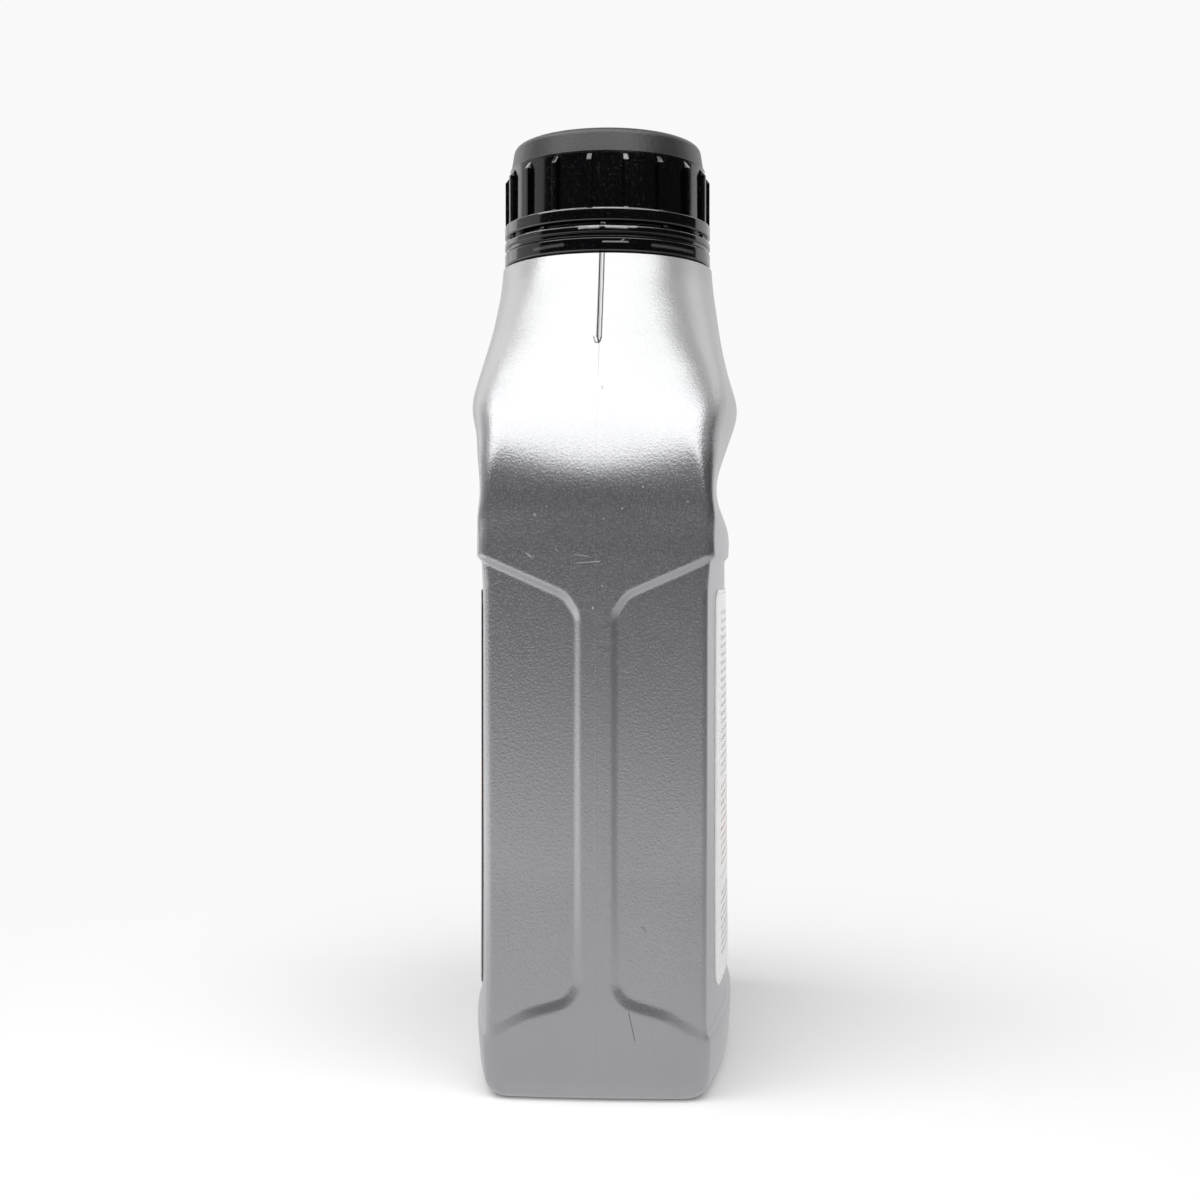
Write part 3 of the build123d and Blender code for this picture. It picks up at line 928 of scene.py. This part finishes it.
def turned_mesh(name, outline, closed=False):
    """Mesh of an outline of radius and height pairs turned about the upright axis."""
    turns = np.arange(round_columns) * 2 * math.pi / round_columns
    rings = [
        np.column_stack([radius * np.cos(turns), radius * np.sin(turns), np.full(round_columns, height)])
        for radius, height in outline]
    if closed:
        rings.append(rings[0])
    mesh = loops_to_mesh(name, rings, closed_ends=not closed)
    if closed:
        whole = bmesh.new()
        whole.from_mesh(mesh)
        bmesh.ops.remove_doubles(whole, verts=whole.verts, dist=1e-7)
        whole.to_mesh(mesh)
    return mesh


def round_tree(name):
    """Geometry tree that repeats a mesh at even turns about the upright axis."""
    tree, given = start_shape_tree(
        name, Piece="Geometry", Count="Int", First_Turn="Float", Finish="Material")
    places = add_node(tree, "GeometryNodePoints", {"Count": given["Count"]}).outputs[0]
    index = add_node(tree, "GeometryNodeInputIndex").outputs[0]
    part = maths(tree, "DIVIDE", index, given["Count"])
    turn = plus(tree, times(tree, part, 2 * math.pi), given["First Turn"])
    rotation = add_node(tree, "ShaderNodeCombineXYZ", {"Z": turn}).outputs[0]
    copies = add_node(tree, "GeometryNodeInstanceOnPoints", {
        "Points": places, "Instance": given["Piece"], "Rotation": rotation}).outputs[0]
    return end_shape_tree(tree, copies, given["Finish"])


def bevelled_mesh(name, points, faces, bevel):
    """Closed mesh from points in millimetres with softened edges."""
    whole = bmesh.new()
    corners = [whole.verts.new([part * millimetre for part in point]) for point in points]
    for face in faces:
        whole.faces.new([corners[index] for index in face])
    bmesh.ops.recalc_face_normals(whole, faces=whole.faces)
    bmesh.ops.bevel(
        whole, geom=whole.edges[:], offset=bevel * millimetre, segments=2, affect="EDGES", profile=0.5)
    mesh = bpy.data.meshes.new(name)
    whole.to_mesh(mesh)
    return mesh


def keep_flats(piece):
    """Shading that follows the larger faces, so that flats stay flat beside their rounded edges."""
    modifier = piece.modifiers.new("flats", "WEIGHTED_NORMAL")
    modifier.keep_sharp = True
    ready = piece.evaluated_get(bpy.context.evaluated_depsgraph_get())
    mesh = bpy.data.meshes.new_from_object(ready)
    piece.modifiers.remove(modifier)
    mesh.name = piece.name
    piece.data = mesh


box_faces = [(0, 1, 2, 3), (7, 6, 5, 4), (0, 4, 5, 1), (1, 5, 6, 2), (2, 6, 7, 3), (3, 7, 4, 0)]
repeat_round = round_tree("repeat_round")
band_outline = rounded([
    (hook_radius, hook_top), (hook_radius, band_low), (ring_radius, band_low), (ring_radius, groove_low),
    (ring_radius - groove_depth, groove_low + groove_depth), (ring_radius - groove_depth, groove_high),
    (ring_radius, groove_high), (ring_radius, band_high), (band_inner_radius, band_high),
    (band_inner_radius, hook_top)],
    [0.2, 0.3, 0.5, 0.25, 0.15, 0.1, 0.2, 0.4, 0.2, 0.1])
band_shell = turned_mesh("band_shell", band_outline, closed=True)
near, far = ring_radius - band_bevel - bridge_depth, ring_radius - band_bevel
low, high = band_high - band_bevel, band_high - band_bevel + bridge_height
half = bridge_width / 2
bridge = bevelled_mesh("bridge", [
    (near, -half, low), (far, -half, low), (far, half, low), (near, half, low),
    (near, -half, high), (far, -half * bridge_taper, high), (far, half * bridge_taper, high),
    (near, half, high)], box_faces, bridge_bevel)
bridges = grown_mesh(
    "bridges", bridge, repeat_round, Count=bridge_count, First_Turn=bridge_first_turn, Finish=black_plastic)
band = new_piece("tamper_ring", joined("tamper_ring", [band_shell, bridges]), black_plastic, sharp_angle=30)
keep_flats(band)
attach(band, "bottle_body")
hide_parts("tamper_band")

# Sealing disc
# A soft pale foam disc, cut from sheet, that lies under the roof of the cap and is pressed on the
# lip of the neck, which leaves a smoother and darker ring in it.
foam_tones = (0.66, 0.66, 0.62), (0.74, 0.74, 0.70)
pressed_tone = (0.45, 0.45, 0.42)
pressed_share = 0.35
pressed_outer, pressed_inner = 0.0009, 0.0006
foam_roughness, pressed_roughness = 0.85, 0.6
foam_cell = 0.0006
foam_relief = 0.00008
lip_middle = (neck_radius + bore_radius) / 2 * millimetre
liner_foam, tree, shader = new_finish("liner_foam")
place, place_x, place_y, _ = place_of(tree)
texture = use_group(tree, grain, Place=place, Cell_Size=foam_cell)
from_lip = maths(tree, "ABSOLUTE", minus(tree, diagonal(tree, place_x, place_y), lip_middle))
pressed = remap(tree, from_lip, pressed_outer, pressed_inner)
colour = blended(tree, texture["Clouds"], *foam_tones)
colour = blended(tree, times(tree, pressed, pressed_share), colour, pressed_tone)
roughness = remap(tree, pressed, 0.0, 1.0, foam_roughness, pressed_roughness)
surface = minus(tree, texture["Height"], pressed)
finish_surface(tree, shader, colour, roughness, surface, foam_relief)
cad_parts["cap_liner"].data.materials.clear()
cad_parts["cap_liner"].data.materials.append(liner_foam)

# Screw cap
# Black satin polypropylene, moulded in one piece: a tapered crown over a straight skirt with
# eighteen grip ribs, a flange at its foot and the thread inside.
cap_top = 181.0
cap_low = 162.5
cap_roof_low = 179.4
cap_bore_radius = 18.8
skirt_radius = 20.0
crown_low = 176.3
crown_low_radius = 19.65
crown_radius = 18.9
flange_top = 165.0
rib_count = 18
rib_first_turn = math.radians(12.65)
rib_width = 1.0
rib_face_radius = 20.9
rib_top = 176.2
rib_slope = 1.9
rib_bevel = 0.16
cap_thread_turns = 1.6
cap_thread_reach = 0.55

cap_outline = list(rounded([
    (0.1, cap_roof_low), (cap_bore_radius, cap_roof_low), (cap_bore_radius, cap_low),
    (ring_radius, cap_low), (ring_radius, flange_top),
    (skirt_radius - 0.05, flange_top), (skirt_radius - 0.1, crown_low),
    (crown_low_radius, crown_low), (crown_radius, cap_top), (0.1, cap_top)],
    [0, 0.6, 0.2, 0.35, 0.4, 0.25, 0.12, 0.0, 1.5, 0]))
cap_shell = turned_mesh("cap_shell", cap_outline)
root = cap_bore_radius + 0.6
low = flange_top - 0.4
half = rib_width / 2
rib = bevelled_mesh("rib", [
    (root, -half, low), (rib_face_radius, -half, low), (rib_face_radius, half, low), (root, half, low),
    (root, -half, rib_top), (rib_face_radius, -half, rib_top - rib_slope),
    (rib_face_radius, half, rib_top - rib_slope), (root, half, rib_top)], box_faces, rib_bevel)
ribs = grown_mesh(
    "ribs", rib, repeat_round, Count=rib_count, First_Turn=rib_first_turn, Finish=black_plastic)
cap_thread = thread_mesh(
    "cap_thread", thread_low + thread_pitch / 2, cap_thread_turns, cap_bore_radius, cap_thread_reach,
    black_plastic)
cap = new_piece(
    "cap_moulding", joined("cap_moulding", [cap_shell, ribs, cap_thread]), black_plastic, sharp_angle=30)
keep_flats(cap)
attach(cap, "cap_body")
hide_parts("cap")

# Floor, backdrop, lamps and camera
# A plain pale sweep: the floor shows its own light and shadow near the bottle and turns into the
# even background further out, under one large soft box above the viewer and a soft one each side.
background = (0.95, 0.95, 0.95)
pale_colour = (0.92, 0.92, 0.92, 1)
pale_roughness = 0.9

# Distances from the middle between which the camera, and then a reflection, comes to see the even
# background in place of the lit floor, and the share of it that a reflection shows at the middle
near_floor, far_floor = 0.05, 0.20
near_mirror, far_mirror, near_mirror_share = 0.05, 0.30, 0.82

# Reflections find the sweep darker on the right and brighter on the left, both in front only
shade_start, shade_end = 0.05, 0.34
shade_back, shade_front = -0.45, -0.10
shade_depth = 0.6
lift_start, lift_end = -0.05, -0.35
lift_gain = 0.6


def sweep_material(name):
    """Matt pale material seen as even background away from the middle."""
    material, tree, shader = new_finish(name)
    shader.inputs["Base Color"].default_value = pale_colour
    shader.inputs["Roughness"].default_value = pale_roughness
    place, place_x, place_y, _ = place_of(tree)
    away = vector_maths(tree, "LENGTH", place).outputs["Value"]
    even = remap(tree, away, near_floor, far_floor, smooth=True)
    profile = remap(tree, away, near_mirror, far_mirror, near_mirror_share, 1.0, smooth=True)
    ray = add_node(tree, "ShaderNodeLightPath").outputs
    beside = remap(tree, place_y, shade_start, shade_end)
    before = remap(tree, place_x, shade_back, shade_front)
    dimmed = times(tree, times(tree, beside, before), shade_depth)
    shade = minus(tree, 1.0, dimmed)
    lift = times(tree, remap(tree, place_y, lift_start, lift_end, 0.0, lift_gain), before)
    shade = times(tree, shade, plus(tree, 1.0, lift))
    mirrored = minus(tree, 1.0, times(tree, profile, shade))
    strength = minus(tree, 1.0, times(tree, ray["Is Glossy Ray"], mirrored))
    by_camera = times(tree, ray["Is Camera Ray"], even)
    seen = maths(tree, "MAXIMUM", by_camera, ray["Is Glossy Ray"])
    glow = add_node(tree, "ShaderNodeEmission", {
        "Color": (*background, 1), "Strength": strength}).outputs[0]
    mixed = add_node(tree, "ShaderNodeMixShader", {0: seen, 1: shader.outputs[0], 2: glow}).outputs[0]
    tree.links.new(mixed, tree.nodes["Material Output"].inputs["Surface"])
    return material


def flat_sheet(name, corners, material):
    """One flat face through four corners in metres."""
    mesh = bpy.data.meshes.new(name)
    mesh.from_pydata(corners, [], [(0, 1, 2, 3)])
    mesh.materials.append(material)
    sheet = placed(name, mesh)


stage_white = sweep_material("stage_white")
floor_reach = 3.0
floor_front = 0.6
backdrop_place = -1.6
backdrop_height = 3.0
flat_sheet("floor", [
    (backdrop_place, -floor_reach, 0), (floor_front, -floor_reach, 0),
    (floor_front, floor_reach, 0), (backdrop_place, floor_reach, 0)], stage_white)
flat_sheet("backdrop", [
    (backdrop_place, -floor_reach, 0), (backdrop_place, floor_reach, 0),
    (backdrop_place, floor_reach, backdrop_height),
    (backdrop_place, -floor_reach, backdrop_height)], stage_white)

room_light = (0.025, 0.025, 0.027)
world = bpy.data.worlds.new("studio")
bpy.context.scene.world = world
world.use_nodes = True
tree = world.node_tree
ray = add_node(tree, "ShaderNodeLightPath").outputs
room = blended(tree, ray["Is Camera Ray"], room_light, background)
tree.links.new(room, tree.nodes["Background"].inputs["Color"])


def soft_box(name, turn, rise, distance, width, height, glow):
    """Lamp aimed at the bottle, its turn and rise in degrees, its glow what a mirror would show."""
    lamp = bpy.data.lights.new(name, "AREA")
    lamp.shape = "RECTANGLE"
    lamp.size = width
    lamp.size_y = height
    lamp.energy = glow * math.pi * width * height
    holder = placed(name, lamp)
    turn, rise = math.radians(turn), math.radians(rise)
    way = Vector((math.cos(rise) * math.cos(turn), math.cos(rise) * math.sin(turn), math.sin(rise)))
    holder.location = way * distance + Vector((0, 0, 0.1))
    holder.rotation_euler = way.to_track_quat("Z", "Y").to_euler()


soft_box("overhead_box", -14, 64, 1.0, 2.2, 1.3, 2.5)
soft_box("left_box", -108, 30, 1.0, 1.2, 1.0, 0.54)
soft_box("right_box", 106, 48, 1.0, 1.1, 0.7, 0.5)

camera_distance = 334.0
camera_turn = math.radians(2.65)
camera_aim_turn = math.radians(0.265)
camera_height = 95.6
camera_dip = math.radians(1.13)
picture_size = 1200
focal_pixels = 1622
sensor_width = 36.0
camera_data = bpy.data.cameras.new("camera")
camera_data.sensor_width = sensor_width
camera_data.lens = focal_pixels / picture_size * sensor_width
camera = placed("camera", camera_data)
out_x, out_y = math.cos(camera_turn), math.sin(camera_turn)
camera.location = Vector((camera_distance * out_x, camera_distance * out_y, camera_height)) * millimetre
heading = camera_turn + math.pi + camera_aim_turn
level = math.cos(camera_dip)
forward = Vector((math.cos(heading) * level, math.sin(heading) * level, -math.sin(camera_dip)))
camera.rotation_euler = forward.to_track_quat("-Z", "Y").to_euler()
bpy.context.scene.camera = camera
bpy.context.scene.view_settings.view_transform = "Standard"
